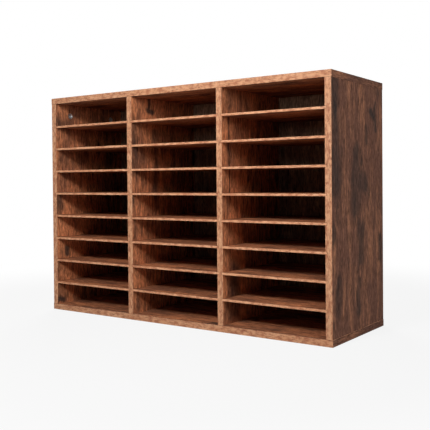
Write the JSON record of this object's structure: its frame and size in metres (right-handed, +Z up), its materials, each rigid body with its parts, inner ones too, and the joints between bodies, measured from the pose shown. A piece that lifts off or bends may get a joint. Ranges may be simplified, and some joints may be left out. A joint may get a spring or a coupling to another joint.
{
  "type": "literature organizer",
  "caption": "Open-front literature organizer: a rustic brown board case whose dividers carry thin removable shelves in grooves, making flat compartments for paper.",
  "frame": {"origin": "middle of the base, on the surface that the case stands on", "axes": "+Z up, -Y towards the open front, +X to the right as seen from the front"},
  "size_m": [0.998, 0.305, 0.67],
  "materials": {
    "decor_board": "matt dark brown woodgrain laminate on particle board",
    "shelf_board": "matt dark brown woodgrain laminate on thin fibreboard, tan band on the front edge",
    "edge_band": "tan woodgrain edge band",
    "end_band": "dark brown woodgrain edge band",
    "back_board": "printed hardboard, woodgrain in front and plain brown behind",
    "fitting_metal": "zinc plated",
    "dowel_wood": "raw beech"
  },
  "bodies": {
    "case": {"top_panel": "decor_board", "bottom_panel": "decor_board", "left_side_panel": "decor_board", "left_divider": "decor_board", "right_divider": "decor_board", "right_side_panel": "decor_board", "back_panel": "back_board", "top_front_band": "edge_band", "bottom_front_band": "edge_band", "left_side_band": "edge_band", "left_divider_band": "edge_band", "right_divider_band": "edge_band", "right_side_band": "edge_band", "top_end_bands": "end_band", "bottom_end_bands": "end_band", "cam_locks": "fitting_metal", "cam_bolts": "fitting_metal", "assembly_screws": "fitting_metal", "dowels": "dowel_wood"},
    "shelf_left_1": {"shelf_left_1": "shelf_board"},
    "shelf_left_2": {"shelf_left_2": "shelf_board"},
    "shelf_left_3": {"shelf_left_3": "shelf_board"},
    "shelf_left_4": {"shelf_left_4": "shelf_board"},
    "shelf_left_5": {"shelf_left_5": "shelf_board"},
    "shelf_left_6": {"shelf_left_6": "shelf_board"},
    "shelf_left_7": {"shelf_left_7": "shelf_board"},
    "shelf_left_8": {"shelf_left_8": "shelf_board"},
    "shelf_centre_1": {"shelf_centre_1": "shelf_board"},
    "shelf_centre_2": {"shelf_centre_2": "shelf_board"},
    "shelf_centre_3": {"shelf_centre_3": "shelf_board"},
    "shelf_centre_4": {"shelf_centre_4": "shelf_board"},
    "shelf_centre_5": {"shelf_centre_5": "shelf_board"},
    "shelf_centre_6": {"shelf_centre_6": "shelf_board"},
    "shelf_centre_7": {"shelf_centre_7": "shelf_board"},
    "shelf_centre_8": {"shelf_centre_8": "shelf_board"},
    "shelf_right_1": {"shelf_right_1": "shelf_board"},
    "shelf_right_2": {"shelf_right_2": "shelf_board"},
    "shelf_right_3": {"shelf_right_3": "shelf_board"},
    "shelf_right_4": {"shelf_right_4": "shelf_board"},
    "shelf_right_5": {"shelf_right_5": "shelf_board"},
    "shelf_right_6": {"shelf_right_6": "shelf_board"},
    "shelf_right_7": {"shelf_right_7": "shelf_board"},
    "shelf_right_8": {"shelf_right_8": "shelf_board"}
  },
  "joints": [
    {"name": "shelf_left_1_slide", "type": "slide", "parent": "case", "child": "shelf_left_1", "axis": [0, -1, 0], "range_m": [0, 0.295]},
    {"name": "shelf_left_2_slide", "type": "slide", "parent": "case", "child": "shelf_left_2", "axis": [0, -1, 0], "range_m": [0, 0.295]},
    {"name": "shelf_left_3_slide", "type": "slide", "parent": "case", "child": "shelf_left_3", "axis": [0, -1, 0], "range_m": [0, 0.295]},
    {"name": "shelf_left_4_slide", "type": "slide", "parent": "case", "child": "shelf_left_4", "axis": [0, -1, 0], "range_m": [0, 0.295]},
    {"name": "shelf_left_5_slide", "type": "slide", "parent": "case", "child": "shelf_left_5", "axis": [0, -1, 0], "range_m": [0, 0.295]},
    {"name": "shelf_left_6_slide", "type": "slide", "parent": "case", "child": "shelf_left_6", "axis": [0, -1, 0], "range_m": [0, 0.295]},
    {"name": "shelf_left_7_slide", "type": "slide", "parent": "case", "child": "shelf_left_7", "axis": [0, -1, 0], "range_m": [0, 0.295]},
    {"name": "shelf_left_8_slide", "type": "slide", "parent": "case", "child": "shelf_left_8", "axis": [0, -1, 0], "range_m": [0, 0.295]},
    {"name": "shelf_centre_1_slide", "type": "slide", "parent": "case", "child": "shelf_centre_1", "axis": [0, -1, 0], "range_m": [0, 0.295]},
    {"name": "shelf_centre_2_slide", "type": "slide", "parent": "case", "child": "shelf_centre_2", "axis": [0, -1, 0], "range_m": [0, 0.295]},
    {"name": "shelf_centre_3_slide", "type": "slide", "parent": "case", "child": "shelf_centre_3", "axis": [0, -1, 0], "range_m": [0, 0.295]},
    {"name": "shelf_centre_4_slide", "type": "slide", "parent": "case", "child": "shelf_centre_4", "axis": [0, -1, 0], "range_m": [0, 0.295]},
    {"name": "shelf_centre_5_slide", "type": "slide", "parent": "case", "child": "shelf_centre_5", "axis": [0, -1, 0], "range_m": [0, 0.295]},
    {"name": "shelf_centre_6_slide", "type": "slide", "parent": "case", "child": "shelf_centre_6", "axis": [0, -1, 0], "range_m": [0, 0.295]},
    {"name": "shelf_centre_7_slide", "type": "slide", "parent": "case", "child": "shelf_centre_7", "axis": [0, -1, 0], "range_m": [0, 0.295]},
    {"name": "shelf_centre_8_slide", "type": "slide", "parent": "case", "child": "shelf_centre_8", "axis": [0, -1, 0], "range_m": [0, 0.295]},
    {"name": "shelf_right_1_slide", "type": "slide", "parent": "case", "child": "shelf_right_1", "axis": [0, -1, 0], "range_m": [0, 0.295]},
    {"name": "shelf_right_2_slide", "type": "slide", "parent": "case", "child": "shelf_right_2", "axis": [0, -1, 0], "range_m": [0, 0.295]},
    {"name": "shelf_right_3_slide", "type": "slide", "parent": "case", "child": "shelf_right_3", "axis": [0, -1, 0], "range_m": [0, 0.295]},
    {"name": "shelf_right_4_slide", "type": "slide", "parent": "case", "child": "shelf_right_4", "axis": [0, -1, 0], "range_m": [0, 0.295]},
    {"name": "shelf_right_5_slide", "type": "slide", "parent": "case", "child": "shelf_right_5", "axis": [0, -1, 0], "range_m": [0, 0.295]},
    {"name": "shelf_right_6_slide", "type": "slide", "parent": "case", "child": "shelf_right_6", "axis": [0, -1, 0], "range_m": [0, 0.295]},
    {"name": "shelf_right_7_slide", "type": "slide", "parent": "case", "child": "shelf_right_7", "axis": [0, -1, 0], "range_m": [0, 0.295]},
    {"name": "shelf_right_8_slide", "type": "slide", "parent": "case", "child": "shelf_right_8", "axis": [0, -1, 0], "range_m": [0, 0.295]}
  ]
}
